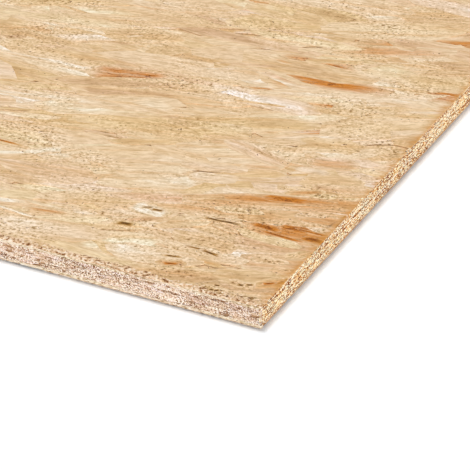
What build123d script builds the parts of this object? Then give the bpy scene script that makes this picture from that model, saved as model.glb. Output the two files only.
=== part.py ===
"""One square-edged oriented strand board panel, lying flat as it would on a floor.

The frame has its origin under the middle of the panel, on the face that it rests on.
X runs along the length, which is the way the face strands lie, Y across the width and Z up.
"""

import os

from build123d import *

# Driving sizes of the sheet, in millimetres
panel_length = 2440.0  # along X
panel_width = 1220.0  # along Y
panel_thickness = 18.0  # along Z
arris_break = 0.5  # narrow bevel where loose fibres break away along a sawn arris


def pressed_panel():
    """The strand mat, pressed into one sheet and sawn square on all four sides."""
    with BuildPart() as sheet:
        with BuildSketch():
            Rectangle(panel_length, panel_width)
        extrude(amount=panel_thickness)
        chamfer(sheet.edges(), length=arris_break)
    return sheet.part


os.makedirs("parts", exist_ok=True)
export_step(pressed_panel(), "parts/osb_panel.step")
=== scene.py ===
# %% [markdown]
# # A sheet of oriented strand board
# The real sheet is a mat of thin wood strands, sprinkled in three layers, pressed hot with resin
# and sawn square. The frame gives its size: one flat sheet that lies on the floor. A plain box with
# a wood picture would look flat at the edges, so this lesson follows the mill instead: strands are
# laid, pressed level with the face and sawn to size, and each strand is a closed mesh of its own.

# %% The frame and its sizes
import math
from collections import namedtuple

import bmesh
import bpy
import numpy as np
from mathutils import Matrix, Vector


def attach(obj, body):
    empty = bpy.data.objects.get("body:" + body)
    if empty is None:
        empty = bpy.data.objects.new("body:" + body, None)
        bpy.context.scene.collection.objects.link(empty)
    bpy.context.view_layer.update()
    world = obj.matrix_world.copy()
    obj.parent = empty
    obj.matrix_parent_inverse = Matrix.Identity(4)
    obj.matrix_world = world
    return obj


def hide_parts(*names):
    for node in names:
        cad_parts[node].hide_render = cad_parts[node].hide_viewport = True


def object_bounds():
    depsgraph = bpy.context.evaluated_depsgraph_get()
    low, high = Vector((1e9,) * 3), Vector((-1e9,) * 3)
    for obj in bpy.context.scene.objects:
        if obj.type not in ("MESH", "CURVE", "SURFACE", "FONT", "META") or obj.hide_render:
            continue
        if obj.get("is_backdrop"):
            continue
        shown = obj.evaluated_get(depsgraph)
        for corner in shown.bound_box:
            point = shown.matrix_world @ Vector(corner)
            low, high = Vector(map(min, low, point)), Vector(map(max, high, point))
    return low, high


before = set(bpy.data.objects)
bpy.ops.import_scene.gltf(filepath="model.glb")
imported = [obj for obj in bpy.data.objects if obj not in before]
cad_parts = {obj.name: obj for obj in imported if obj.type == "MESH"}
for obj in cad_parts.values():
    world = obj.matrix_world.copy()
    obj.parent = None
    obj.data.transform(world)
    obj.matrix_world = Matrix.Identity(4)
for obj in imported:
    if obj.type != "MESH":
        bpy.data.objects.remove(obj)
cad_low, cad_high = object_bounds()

MM = 0.001
panel_length, panel_width, panel_thickness = cad_high - cad_low
near_corner = Vector((cad_high.x, cad_low.y, cad_low.z))
print(f"sheet {panel_length / MM:.0f} x {panel_width / MM:.0f} x {panel_thickness / MM:.1f} mm")

# %% [markdown]
# ## The camera
# The picture shows one corner of the sheet from slightly above, through a long lens, so that both
# edges stay almost parallel. The camera could be placed by eye, but a corner gives enough to work
# it out: three edges leave it, and their directions fix the turn, the height and the distance.

# %% Camera at the picture's viewing angle
IMAGE_PIXELS = 470
SENSOR_WIDTH = 36.0
camera_turn = math.radians(26.76)
camera_height = math.radians(30.51)
camera_distance = 2.0
focal_pixels = 2938.6
aim_right_of_corner = -17.7 * MM
aim_above_corner = 64.3 * MM

back = Vector((math.sin(camera_turn) * math.cos(camera_height),
               -math.cos(camera_turn) * math.cos(camera_height),
               math.sin(camera_height)))
right = Vector((math.cos(camera_turn), math.sin(camera_turn), 0))
up = back.cross(right)
camera_data = bpy.data.cameras.new("corner_camera")
camera_data.sensor_width = SENSOR_WIDTH
camera_data.lens = focal_pixels / IMAGE_PIXELS * SENSOR_WIDTH
camera = bpy.data.objects.new("corner_camera", camera_data)
bpy.context.scene.collection.objects.link(camera)
bpy.context.scene.camera = camera
camera.location = (near_corner + right * aim_right_of_corner + up * aim_above_corner
                   + back * camera_distance)
camera.rotation_euler = Matrix((right, up, back)).transposed().to_euler()


def point_on_top(pixel):
    """Where the camera's ray through a pixel of the picture meets the top face."""
    middle = IMAGE_PIXELS / 2
    ray = (right * (pixel[0] - middle) + up * (middle - pixel[1])) / focal_pixels - back
    reach = (cad_high.z - camera.location.z) / ray.z
    return camera.location + ray * reach


print(f"lens {camera_data.lens:.0f} mm at {camera_distance} m")

# %% [markdown]
# ## One helper for every node
# Shaders and Geometry Nodes are both trees of nodes, so one small function serves both. It adds a
# node, sets its properties first, because they decide which sockets are in use, and then fills the
# sockets with a value or a link. Colours are written as they look on a screen and turned to linear.

# %% Node and colour helpers
def add_node(tree, kind, inputs=(), stops=(), **settings):
    """Add a node with its settings; inputs are values, sockets or nodes, by order or by name."""
    made = tree.nodes.new(kind)
    for key, value in settings.items():
        setattr(made, key, value)
    open_sockets = [socket for socket in made.inputs if socket.enabled]
    named = inputs.items() if isinstance(inputs, dict) else enumerate(inputs)
    for key, value in named:
        matches = [s for place, s in enumerate(open_sockets) if key in (place, s.name)]
        if isinstance(value, bpy.types.Node):
            value = next(socket for socket in value.outputs if socket.enabled)
        if isinstance(value, bpy.types.NodeSocket):
            tree.links.new(value, matches[0])
        else:
            matches[0].default_value = value
    for place, (position, colour) in enumerate(stops):
        if place >= len(made.color_ramp.elements):
            made.color_ramp.elements.new(position)
        made.color_ramp.elements[place].position = position
        made.color_ramp.elements[place].color = colour
    return made


def linear(hex_colour):
    """The linear colour of an sRGB hex value such as #e2c29a."""
    shares = [int(hex_colour[place:place + 2], 16) / 255 for place in (1, 3, 5)]
    return [s / 12.92 if s <= 0.04045 else ((s + 0.055) / 1.055) ** 2.4 for s in shares] + [1.0]


def new_material(name):
    """A new material and its empty tree."""
    material = bpy.data.materials.new(name)
    material.use_nodes = True
    material.node_tree.nodes.clear()
    return material, material.node_tree


# %% [markdown]
# ## Softwood strands, knife-cut and pressed
# A strand is a thin slice of pine or spruce, cut along the grain. The eye sees fine short lines
# along it, a few broad bands of late wood and a colour of its own, from honey to cream. A drawing
# of wood laid over the sheet would ignore the strands, so each strand carries its place on itself
# in an attribute, and stretched noise follows that. Real fibres and torn flecks are a few tenths of
# a millimetre wide: the lines, grit, cracks and specks are drawn as coarse as they need to show.

# %% Patterns of the face strands
BAND_SIZE = (95 * MM, 7 * MM)
LINE_SIZE = (30 * MM, 1.0 * MM)
DASH_SIZE = (9 * MM, 2.2 * MM)
GRIT_SIZE = (2.4 * MM, 2.0 * MM)
CRACK_SIZE = (16 * MM, 1.2 * MM)
SPECK_SIZE = (2.8 * MM, 2.6 * MM)
PATCH_SIZE = (10 * MM, 4.5 * MM)
WAVE_LENGTH = 16 * MM
WAVE_HEIGHT = 5 * MM

face_wood, tree = new_material("knife_cut_pressed_softwood")
grain, blank = [add_node(tree, "ShaderNodeAttribute", attribute_name=name).outputs["Vector"]
                for name in ("grain", "blank")]
tint, stain, rim_stain, rough = [
    add_node(tree, "ShaderNodeAttribute", attribute_name=name).outputs["Fac"]
    for name in ("tint", "stain", "rim_stain", "rough")]
wave_place = add_node(tree, "ShaderNodeVectorMath", [grain, (1 / WAVE_LENGTH, 1 / WAVE_LENGTH, 1)],
                      operation="MULTIPLY")
wave = add_node(tree, "ShaderNodeTexNoise", {"Vector": wave_place, "Scale": 1.0, "Detail": 1.0})
sway = add_node(tree, "ShaderNodeMath", [wave, WAVE_HEIGHT], operation="MULTIPLY")
wavy_grain = add_node(tree, "ShaderNodeVectorMath",
                      [grain, add_node(tree, "ShaderNodeCombineXYZ", [0.0, sway, 0.0])],
                      operation="ADD")
patterns = []
for spot_length, spot_width in (BAND_SIZE, LINE_SIZE, DASH_SIZE, GRIT_SIZE, CRACK_SIZE, SPECK_SIZE,
                                PATCH_SIZE):
    place = add_node(tree, "ShaderNodeVectorMath", [wavy_grain, (1 / spot_length, 1 / spot_width, 1)],
                     operation="MULTIPLY")
    patterns.append(add_node(tree, "ShaderNodeTexNoise",
                             {"Vector": place, "Scale": 1.0, "Detail": 2.0, "Distortion": 0.3}))
bands, lines, dashes, grit, crack_shade_pattern, specks, patches = patterns
print(len(patterns), "patterns along the grain")

# %% [markdown]
# Hot pressing squeezes the rims of neighbours together, so a strand's own tint is strongest in its
# middle and fades into clouds of colour that run over the whole sheet. Some strands are yellower and
# some pinker, and late wood, the dark part of a year's ring, lies in bands along them. A pattern
# is centred on one half, and one helper adds such patterns to a value, each with its contrast.

# %% Tint that melts into the neighbours
PATTERN_MEAN = 0.5
STRAND_END = 0.5
CLOUD_SIZE = (60 * MM, 26 * MM, 60 * MM)
CLOUD_CONTRAST = 1.2
YELLOWISH, PINKISH = (0.98, 1.0, 0.93), (0.985, 0.985, 1.06)
HUE_SPREAD = 0.2
TINT_FADE_STARTS = (0.3, 0.05)
STAIN_FADE_STARTS = (0.08, 0.04)
RIM_TINT_SHARE = 0.3
LATE_FROM, LATE_FULL, LATE_MOST = 0.48, 0.75, 0.5


def add_patterns(tree, value, contrasts):
    """Add each pattern's step from its mean, times its contrast, to a value."""
    for pattern, contrast in contrasts:
        step = add_node(tree, "ShaderNodeMath", [pattern, PATTERN_MEAN], operation="SUBTRACT")
        value = add_node(tree, "ShaderNodeMath", [step, contrast, value], operation="MULTIPLY_ADD")
    return value


from_middle = add_node(tree, "ShaderNodeVectorMath", [blank], operation="ABSOLUTE")
reach = add_node(tree, "ShaderNodeSeparateXYZ", [from_middle]).outputs
rims = []
for fade_starts in (TINT_FADE_STARTS, STAIN_FADE_STARTS):
    shares = [add_node(tree, "ShaderNodeMapRange",
                       {"Value": reach[axis], "From Min": fade_start, "From Max": STRAND_END},
                       interpolation_type="SMOOTHSTEP")
              for axis, fade_start in zip("XY", fade_starts)]
    rims.append(add_node(tree, "ShaderNodeMath", shares, operation="MAXIMUM"))
tint_rim, stain_rim = rims
own_share = add_node(tree, "ShaderNodeMapRange", {"Value": tint_rim, "To Min": 1.0,
                                                  "To Max": RIM_TINT_SHARE})
on_sheet = add_node(tree, "ShaderNodeTexCoord").outputs["Object"]
cloud_place = add_node(tree, "ShaderNodeVectorMath", [on_sheet, [1 / size for size in CLOUD_SIZE]],
                       operation="MULTIPLY")
clouds = add_node(tree, "ShaderNodeTexNoise", {"Vector": cloud_place, "Scale": 1.0, "Detail": 2.0})
melted_tint = add_patterns(tree, PATTERN_MEAN, [(clouds, CLOUD_CONTRAST), (tint, own_share)])
own_colour = add_node(tree, "ShaderNodeValToRGB", [melted_tint], stops=[
    (0.0, linear("#d4ae82")), (0.25, linear("#e5c397")), (0.55, linear("#ebcda7")),
    (0.85, linear("#efd5b3")), (1.0, linear("#f7e7cf"))])
strand_place = add_node(tree, "ShaderNodeSeparateXYZ", [grain]).outputs["Z"]
hue_draw = add_node(tree, "ShaderNodeTexNoise", {"W": strand_place, "Scale": 1.0, "Detail": 0.0},
                    noise_dimensions="1D")
own_hue = add_patterns(tree, 0.0, [(hue_draw, own_share)])
hue_share = add_node(tree, "ShaderNodeMapRange", {"Value": own_hue, "From Min": -HUE_SPREAD,
                                                  "From Max": HUE_SPREAD})
hue = add_node(tree, "ShaderNodeMix", {"Factor": hue_share, "A": YELLOWISH, "B": PINKISH},
               data_type="VECTOR")
with_hue = add_node(tree, "ShaderNodeVectorMath", [own_colour, hue], operation="MULTIPLY")
late_share = add_node(tree, "ShaderNodeMapRange", {"Value": bands, "From Min": LATE_FROM,
                                                   "From Max": LATE_FULL, "To Max": LATE_MOST})
with_bands = add_node(tree, "ShaderNodeMix", {"Factor": late_share, "A": with_hue,
                                              "B": linear("#d6a566")}, data_type="RGBA")
print(len(tree.nodes), "nodes up to the tint")

# %% [markdown]
# The knife leaves soft streaks everywhere and, here and there, a stretch that is torn into small
# light and dark flecks. Such rough stretches come and go in patches over the sheet. A shift slides
# those patches to where the picture has them, and a chosen strand can be rougher or smoother. A
# fleck's step is multiplied by its own size, so that few flecks stand out. A dark line in wood is
# browner, not greyer, so the blue falls fastest.

# %% Streaks and rough stretches
FUZZ_SIZE = (60 * MM, 40 * MM, 60 * MM)
FUZZ_SHIFT = (3.61, 3.17, 0.0)
FUZZ_FROM, FUZZ_FULL, FUZZ_LEAST = 0.4, 0.7, 0.1
LINE_CONTRAST, DASH_CONTRAST, FLECK_CONTRAST = 0.45, 0.9, 17.0
DARKEST, BRIGHTEST = 0.3, 1.3
TONE_POWERS = (0.85, 1.1, 1.6)
on_fuzz = add_node(tree, "ShaderNodeVectorMath", [on_sheet, FUZZ_SHIFT], operation="ADD")
fuzz_place = add_node(tree, "ShaderNodeVectorMath", [on_fuzz, [1 / size for size in FUZZ_SIZE]],
                      operation="MULTIPLY")
fuzz = add_node(tree, "ShaderNodeTexNoise", {"Vector": fuzz_place, "Scale": 1.0, "Detail": 1.0})
fuzz_share = add_node(tree, "ShaderNodeMapRange", {"Value": fuzz, "From Min": FUZZ_FROM,
                                                   "From Max": FUZZ_FULL, "To Min": FUZZ_LEAST})
inner_share = add_node(tree, "ShaderNodeMath", [1.0, stain_rim], operation="SUBTRACT")
rough_share = add_node(tree, "ShaderNodeMath", [rough, inner_share, fuzz_share],
                       operation="MULTIPLY_ADD")
streak_tone = add_patterns(tree, 1.0, [(lines, LINE_CONTRAST), (dashes, DASH_CONTRAST)])
fleck_step = add_node(tree, "ShaderNodeMath", [grit, PATTERN_MEAN], operation="SUBTRACT")
fleck_size = add_node(tree, "ShaderNodeMath", [fleck_step], operation="ABSOLUTE")
sparse_step = add_node(tree, "ShaderNodeMath", [fleck_step, fleck_size], operation="MULTIPLY")
rough_step = add_node(tree, "ShaderNodeMath", [sparse_step, rough_share], operation="MULTIPLY")
rough_tone = add_node(tree, "ShaderNodeMath", [rough_step, FLECK_CONTRAST, streak_tone],
                      operation="MULTIPLY_ADD")
tone = add_node(tree, "ShaderNodeClamp", [rough_tone, DARKEST, BRIGHTEST])
warm_tone = add_node(tree, "ShaderNodeCombineXYZ",
                     [add_node(tree, "ShaderNodeMath", [tone, power], operation="POWER")
                      for power in TONE_POWERS])
print(len(tree.nodes), "nodes up to the streaks")

# %% [markdown]
# Heartwood stains a strand along its middle and fades out towards its sides, in patches that follow
# the grain. The stain that a strand carries decides how far this goes, from a honey glow to dark
# brown. The deepest stains are slivers of bark, which are browner, less orange and broken by gaps;
# a few of the listed slivers use this bark colour as painted shade and shadow.

# %% Heartwood and bark
STREAKY_FROM, STREAKY_TO = 0.65, 1.35
STREAK_LEAST, STREAK_MOST = 0.15, 1.85
HEART_FULL, HEART_MOST = 1.2, 0.96
DEEP_FROM, DEEP_FULL, DEEP_MOST = 1.2, 2.3, 0.95
DEEP_LINES, DEEP_PATCHES, DEEP_GRIT = 2.7, 2.7, 4.05
BARK_FROM, BARK_FULL = 2.15, 2.35
HEART_IN_BARK = 0.5
BARK_GAPS = 0.55
own_stain = add_node(tree, "ShaderNodeMapRange", {"Value": stain_rim, "To Min": stain,
                                                  "To Max": rim_stain})
streaky = add_node(tree, "ShaderNodeMath", [bands, lines], operation="ADD")
streak_share = add_node(tree, "ShaderNodeMapRange",
                        {"Value": streaky, "From Min": STREAKY_FROM, "From Max": STREAKY_TO,
                         "To Min": STREAK_LEAST, "To Max": STREAK_MOST})
bark_and_shade_share = add_node(tree, "ShaderNodeMapRange", {"Value": stain, "From Min": BARK_FROM,
                                                   "From Max": BARK_FULL})
wood_share = add_node(tree, "ShaderNodeMapRange", {"Value": bark_and_shade_share, "To Min": 1.0,
                                                   "To Max": HEART_IN_BARK})
heart_stain = add_node(tree, "ShaderNodeMath", [own_stain, wood_share], operation="MULTIPLY")
heart_place = add_node(tree, "ShaderNodeMath", [streak_share, heart_stain], operation="MULTIPLY")
heart_share = add_node(tree, "ShaderNodeMapRange", {"Value": heart_place, "From Max": HEART_FULL,
                                                    "To Max": HEART_MOST})
less_gaps = add_node(tree, "ShaderNodeMath", [bark_and_shade_share, -BARK_GAPS, own_stain],
                     operation="MULTIPLY_ADD")
deep_place = add_patterns(tree, less_gaps, [(lines, DEEP_LINES), (patches, DEEP_PATCHES),
                                            (grit, DEEP_GRIT)])
deep_share = add_node(tree, "ShaderNodeMapRange", {"Value": deep_place, "From Min": DEEP_FROM,
                                                   "From Max": DEEP_FULL, "To Max": DEEP_MOST})
stained = with_bands
for share, of_wood, of_bark in ((heart_share, "#cb7c20", "#a9782a"),
                                (deep_share, "#743604", "#543000")):
    colour = add_node(tree, "ShaderNodeMix", {"Factor": bark_and_shade_share, "A": linear(of_wood),
                                              "B": linear(of_bark)}, data_type="RGBA")
    stained = add_node(tree, "ShaderNodeMix", {"Factor": share, "A": stained, "B": colour},
                       data_type="RGBA")
with_streaks = add_node(tree, "ShaderNodeVectorMath", [stained, warm_tone], operation="MULTIPLY")
print(len(tree.nodes), "nodes up to the stains")

# %% [markdown]
# On top of that lie small dark marks: thin open cracks, joints along some strands' sides, and specks
# of bark, which gather where a strand is rough. The dark of a crack is painted shade, and that of a
# joint is partly resin and partly painted shade in the gap between strands; the bark specks are
# their own colour. At each spot the strongest of the three shows.

# %% Cracks, joints and specks
CRACK_SHADE_FROM, CRACK_SHADE_FULL, CRACK_SHADE_MOST = 0.72, 0.79, 0.5
JOINT_SHADE_FROM, JOINT_SHADE_FULL, JOINT_SHADE_MOST = 0.68, 0.73, 0.25
SPECKS_FROM, SPECKS_FULL, SPECKS_MOST = 0.725, 0.78, 0.85
JOINT_SHADE_BREAKS = 0.3
SPECKS_IF_ROUGH = 0.075
joint_shade_place = add_node(tree, "ShaderNodeMath", [patches, JOINT_SHADE_BREAKS, reach["Y"]],
                       operation="MULTIPLY_ADD")
speck_place = add_node(tree, "ShaderNodeMath", [rough_share, SPECKS_IF_ROUGH, specks],
                       operation="MULTIPLY_ADD")
mark_share = 0.0
# Cracks and joints here are painted shade, the joints partly resin too; specks are the bark's own colour.
for place, shown_from, full_from, most in ((crack_shade_pattern, CRACK_SHADE_FROM, CRACK_SHADE_FULL, CRACK_SHADE_MOST),
                                           (joint_shade_place, JOINT_SHADE_FROM, JOINT_SHADE_FULL, JOINT_SHADE_MOST),
                                           (speck_place, SPECKS_FROM, SPECKS_FULL, SPECKS_MOST)):
    share = add_node(tree, "ShaderNodeMapRange", {"Value": place, "From Min": shown_from,
                                                  "From Max": full_from, "To Max": most})
    mark_share = add_node(tree, "ShaderNodeMath", [share, mark_share], operation="MAXIMUM")
with_marks = add_node(tree, "ShaderNodeMix", {"Factor": mark_share, "A": with_streaks,
                                              "B": linear("#683c18")}, data_type="RGBA")
print(len(tree.nodes), "nodes up to the marks")

# %% [markdown]
# The saw marks the rims of the face. Along the two short cuts the wood is browned in patches, and
# Along the two short cuts the face is browner in patches, and along the two long cuts, which cross
# many strands, the saw tears the fibres: light and dark grains reach some millimetres onto the face,
# further in some patches than in others, and leave bark as it is.

# %% Rims of the face and its finished shader
BROWN_REACH = 11 * MM
BROWN_PATCHES, BROWN_LINES = 3.0, 1.6
BROWN_FROM, BROWN_FULL, BROWN_MOST = 0.1, 1.1, 0.65
TORN_REACH = 10 * MM
TORN_FROM, TORN_FULL, TORN_ON_BARK = 0.72, 0.8, 0.15
SMOOTHEST, ROUGHEST = 0.5, 0.75
FACE_GLOSS = 0.12
LINE_DEPTH = 0.12 * MM
WOOD_IOR = 1.5
from_centre = add_node(tree, "ShaderNodeVectorMath", [on_sheet], operation="ABSOLUTE")
from_axes = add_node(tree, "ShaderNodeSeparateXYZ", [from_centre]).outputs
near_end, near_cut = [
    add_node(tree, "ShaderNodeMapRange", {"Value": from_axes[axis], "From Min": side / 2 - reach_in,
                                          "From Max": side / 2})
    for axis, side, reach_in in (("X", panel_length, BROWN_REACH), ("Y", panel_width, TORN_REACH))]
brown_place = add_patterns(tree, near_end, [(patches, BROWN_PATCHES), (lines, BROWN_LINES)])
edge_share = add_node(tree, "ShaderNodeMath", [brown_place, near_end], operation="MULTIPLY")
brown_share = add_node(tree, "ShaderNodeMapRange", {"Value": edge_share, "From Min": BROWN_FROM,
                                                    "From Max": BROWN_FULL, "To Max": BROWN_MOST})
with_brown = add_node(tree, "ShaderNodeMix", {"Factor": brown_share, "A": with_marks,
                                              "B": linear("#c98a3a")}, data_type="RGBA")
torn_place = add_node(tree, "ShaderNodeMath", [patches, near_cut, grit], operation="MULTIPLY_ADD")
torn_most = add_node(tree, "ShaderNodeMapRange", {"Value": bark_and_shade_share, "To Min": 1.0,
                                                  "To Max": TORN_ON_BARK})
torn_share = add_node(tree, "ShaderNodeMapRange", {"Value": torn_place, "From Min": TORN_FROM,
                                                   "From Max": TORN_FULL, "To Max": torn_most})
torn_colour = add_node(tree, "ShaderNodeValToRGB", [specks], stops=[
    (0.36, linear("#fbe9d2")), (0.52, linear("#dfb890")), (0.64, linear("#7c4c20"))])
face_colour = add_node(tree, "ShaderNodeMix", {"Factor": torn_share, "A": with_brown,
                                               "B": torn_colour}, data_type="RGBA")
roughness = add_node(tree, "ShaderNodeMapRange", {"Value": lines, "To Min": SMOOTHEST,
                                                  "To Max": ROUGHEST})


def finish_wood(tree, colour, roughness, gloss, height, depth, strength=0.5):
    """End a wood's tree: its colour, how dull it is, and a relief from one of its patterns."""
    relief = add_node(tree, "ShaderNodeBump", {"Strength": strength, "Distance": depth,
                                               "Height": height})
    shader = add_node(tree, "ShaderNodeBsdfPrincipled", {"Base Color": colour, "Normal": relief,
                                                         "Roughness": roughness, "IOR": WOOD_IOR,
                                                         "Specular IOR Level": gloss})
    add_node(tree, "ShaderNodeOutputMaterial", {"Surface": shader})


finish_wood(tree, face_colour, roughness, FACE_GLOSS, lines, LINE_DEPTH)
print("made", face_wood.name, "with", len(tree.nodes), "nodes")

# %% [markdown]
# ## Sawn strand ends and sides
# The saw cuts some strands across, which leaves grainy, speckled end grain, and splits others along,
# which leaves pale streaks. Each strand says which it is. A long edge shows mostly ends, which look
# pinkish and dull, and a short edge mostly sides, which are golden and brighter in colour, though both
# have one gloss, so there are two finishes of one pattern. Real pores are far finer and are drawn
# here as coarse as they can be seen.

# %% Tones of the sawn edges
RAMP_PLACES = (0.0, 0.25, 0.5, 0.75, 1.0)
EdgeTones = namedtuple("EdgeTones", "ends sides pit pits_from end_contrast side_contrast streak_contrast")
edge_tones = {
    "end_grain_sawn_edge": EdgeTones(
        ends=("#7a5032", "#c8a280", "#e3c8ae", "#f2e0ce", "#fcf5ec"),
        sides=("#a08258", "#d8c09c", "#e8d8bc", "#f2e6d2", "#fcf4e4"),
        pit="#6e4020", pits_from=0.77, end_contrast=2.8, side_contrast=2.0, streak_contrast=0.8),
    "long_grain_sawn_edge": EdgeTones(
        ends=("#8c4810", "#f2a654", "#ffd698", "#ffecc0", "#fffae0"),
        sides=("#844008", "#f4a850", "#ffd692", "#ffeebe", "#fffce2"),
        pit="#6a340c", pits_from=0.74, end_contrast=5.4, side_contrast=5.4, streak_contrast=2.4)}
print(" and ".join(edge_tones))

# %% [markdown]
# Each kind of cut has a coarse pattern, pores or streaks, and a fine one, fibres or splits. The saw
# tears in patches, so the fine pattern is stronger in some places. Small pits are left where a fibre
# was pulled out, and their dark colour is painted shade.

# %% Materials of the sawn edges
PORE_SIZE = (3.0 * MM, 1.6 * MM)
FIBRE_SIZE = (1.0 * MM, 1.0 * MM)
STREAK_SIZE = (16 * MM, 0.8 * MM)
SPLIT_SIZE = (2.4 * MM, 0.85 * MM)
PIT_SIZE = (1.8 * MM, 1.5 * MM)
TEAR_SIZE = 14 * MM
TEAR_FROM, TEAR_TO, TEAR_LEAST, TEAR_MOST = 0.35, 0.65, 0.6, 1.4
GOLDEN, ROSY = (1.0, 0.99, 0.9), (1.03, 0.975, 1.03)
GOLDEN_TO, ROSY_FROM = 0.3, 0.7
DARK_TONE, PALE_TONE = 0.34, 0.7
PITS_IF_TORN, PIT_RIM, PIT_MOST = 0.06, 0.06, 0.9
EDGE_ROUGHNESS, EDGE_GLOSS = 0.8, 0.2
FIBRE_DEPTH = 0.15 * MM


def sawn_wood(tree, tones):
    """The colour of sawn strands, and the pattern of their fibres."""
    grain = add_node(tree, "ShaderNodeAttribute", attribute_name="grain").outputs["Vector"]
    tint, cut_across = [add_node(tree, "ShaderNodeAttribute", attribute_name=name).outputs["Fac"]
                        for name in ("tint", "cut_across")]
    patterns = []
    for spot_length, spot_width in (PORE_SIZE, FIBRE_SIZE, STREAK_SIZE, SPLIT_SIZE, PIT_SIZE):
        place = add_node(tree, "ShaderNodeVectorMath",
                         [grain, (1 / spot_length, 1 / spot_width, 1)], operation="MULTIPLY")
        patterns.append(add_node(tree, "ShaderNodeTexNoise",
                                 {"Vector": place, "Scale": 1.0, "Detail": 0.0}))
    pores, fibres, streaks, splits, pits = patterns
    on_sheet = add_node(tree, "ShaderNodeTexCoord").outputs["Object"]
    tear_place = add_node(tree, "ShaderNodeVectorMath", [on_sheet, [1 / TEAR_SIZE] * 3],
                          operation="MULTIPLY")
    tears = add_node(tree, "ShaderNodeTexNoise", {"Vector": tear_place, "Scale": 1.0, "Detail": 1.0})
    tear_share = add_node(tree, "ShaderNodeMapRange",
                          {"Value": tears, "From Min": TEAR_FROM, "From Max": TEAR_TO,
                           "To Min": TEAR_LEAST, "To Max": TEAR_MOST})
    own_tone = add_node(tree, "ShaderNodeMapRange", {"Value": tint, "To Min": DARK_TONE,
                                                     "To Max": PALE_TONE})
    colours = []
    for coarse, fine, contrast, hex_tones in ((streaks, splits, tones.side_contrast, tones.sides),
                                              (pores, fibres, tones.end_contrast, tones.ends)):
        fine_contrast = add_node(tree, "ShaderNodeMath", [tear_share, contrast], operation="MULTIPLY")
        tone = add_patterns(tree, own_tone, [(coarse, tones.streak_contrast), (fine, fine_contrast)])
        stops = list(zip(RAMP_PLACES, [linear(hex_tone) for hex_tone in hex_tones]))
        colours.append(add_node(tree, "ShaderNodeValToRGB", [tone], stops=stops))
    of_sides, of_ends = colours
    sawn = add_node(tree, "ShaderNodeMix", {"Factor": cut_across, "A": of_sides, "B": of_ends},
                    data_type="RGBA")
    strand_place = add_node(tree, "ShaderNodeSeparateXYZ", [grain]).outputs["Z"]
    hue_draw = add_node(tree, "ShaderNodeTexNoise", {"W": strand_place, "Scale": 1.0, "Detail": 0.0},
                        noise_dimensions="1D")
    hue_share = add_node(tree, "ShaderNodeMapRange", {"Value": hue_draw, "From Min": GOLDEN_TO,
                                                      "From Max": ROSY_FROM})
    hue = add_node(tree, "ShaderNodeMix", {"Factor": hue_share, "A": GOLDEN, "B": ROSY},
                   data_type="VECTOR")
    with_hue = add_node(tree, "ShaderNodeVectorMath", [sawn, hue], operation="MULTIPLY")
    # The pits' dark colour is painted shade.
    pit_place = add_node(tree, "ShaderNodeMath", [tear_share, PITS_IF_TORN, pits],
                         operation="MULTIPLY_ADD")
    pit_shade_share = add_node(tree, "ShaderNodeMapRange",
                         {"Value": pit_place, "From Min": tones.pits_from,
                          "From Max": tones.pits_from + PIT_RIM, "To Max": PIT_MOST})
    with_pit_shade = add_node(tree, "ShaderNodeMix", {"Factor": pit_shade_share, "A": with_hue,
                                                 "B": linear(tones.pit)}, data_type="RGBA")
    return with_pit_shade, fibres


edge_woods = {}
for name, tones in edge_tones.items():
    edge_woods[name], tree = new_material(name)
    edge_colour, fibres = sawn_wood(tree, tones)
    finish_wood(tree, edge_colour, EDGE_ROUGHNESS, EDGE_GLOSS, fibres, FIBRE_DEPTH)
    print("made", name, "with", len(tree.nodes), "nodes")

# %% [markdown]
# ## The mat behind the strands
# Between the sawn strands the eye looks into small voids. The deeper mat is one closed body, and its
# sides have a mottled brown colour that only shows there: painted shade, for the dark at the bottom
# of the voids.

# %% Material of the voids
MOTTLE_SIZE = (6 * MM, 6 * MM, 1.5 * MM)
VOID_ROUGHNESS, VOID_GLOSS = 0.85, 0.2
VOID_DEPTH, VOID_RELIEF = 0.4 * MM, 0.6
# The mottled brown of the voids is painted shade.
void_painted_shade, tree = new_material("voids_painted_shade")
on_sheet = add_node(tree, "ShaderNodeTexCoord").outputs["Object"]
spot = add_node(tree, "ShaderNodeVectorMath", [on_sheet, [1 / size for size in MOTTLE_SIZE]],
                operation="MULTIPLY")
mottle = add_node(tree, "ShaderNodeTexNoise", {"Vector": spot, "Scale": 1.0, "Detail": 3.0})
colour = add_node(tree, "ShaderNodeValToRGB", [mottle], stops=[(0.3, linear("#8a6444")),
                                                               (0.7, linear("#c9a07a"))])
finish_wood(tree, colour, VOID_ROUGHNESS, VOID_GLOSS, mottle, VOID_DEPTH, VOID_RELIEF)
print("made", void_painted_shade.name)

# %% [markdown]
# ## The lay-up tree
# Thousands of strands follow one rule, which is work for Geometry Nodes: points are scattered over
# an area, each point is given a strand's size, lean and depth, and a blank is put on it. The tree
# has named inputs for all sizes, so the same rule lays the faces and the sawn edges.

# %% Inputs of the lay-up tree
lay_up = bpy.data.node_groups.new("strand_lay_up", "GeometryNodeTree")
number_inputs = ["Area Length", "Area Width", "Centre X", "Centre Y", "Shortest", "Longest",
                 "Narrowest", "Widest", "Strand Thickness", "Relief", "Lean Spread", "Drift",
                 "Drift Reach", "Sliver Share", "Core Share", "Core Cut Across", "Cut Across Length",
                 "Stain Share"]
count_inputs = ["Columns", "Rows", "Stations", "Seed"]
lay_up.interface.new_socket("Chosen Strands", in_out="INPUT", socket_type="NodeSocketGeometry")
for name in number_inputs:
    lay_up.interface.new_socket(name, in_out="INPUT", socket_type="NodeSocketFloat")
for name in count_inputs:
    lay_up.interface.new_socket(name, in_out="INPUT", socket_type="NodeSocketInt")
lay_up.interface.new_socket("Finish", in_out="INPUT", socket_type="NodeSocketMaterial")
lay_up.interface.new_socket("Strands", in_out="OUTPUT", socket_type="NodeSocketGeometry")
given = add_node(lay_up, "NodeGroupInput").outputs
print(len(number_inputs) + len(count_inputs), "inputs")

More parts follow.
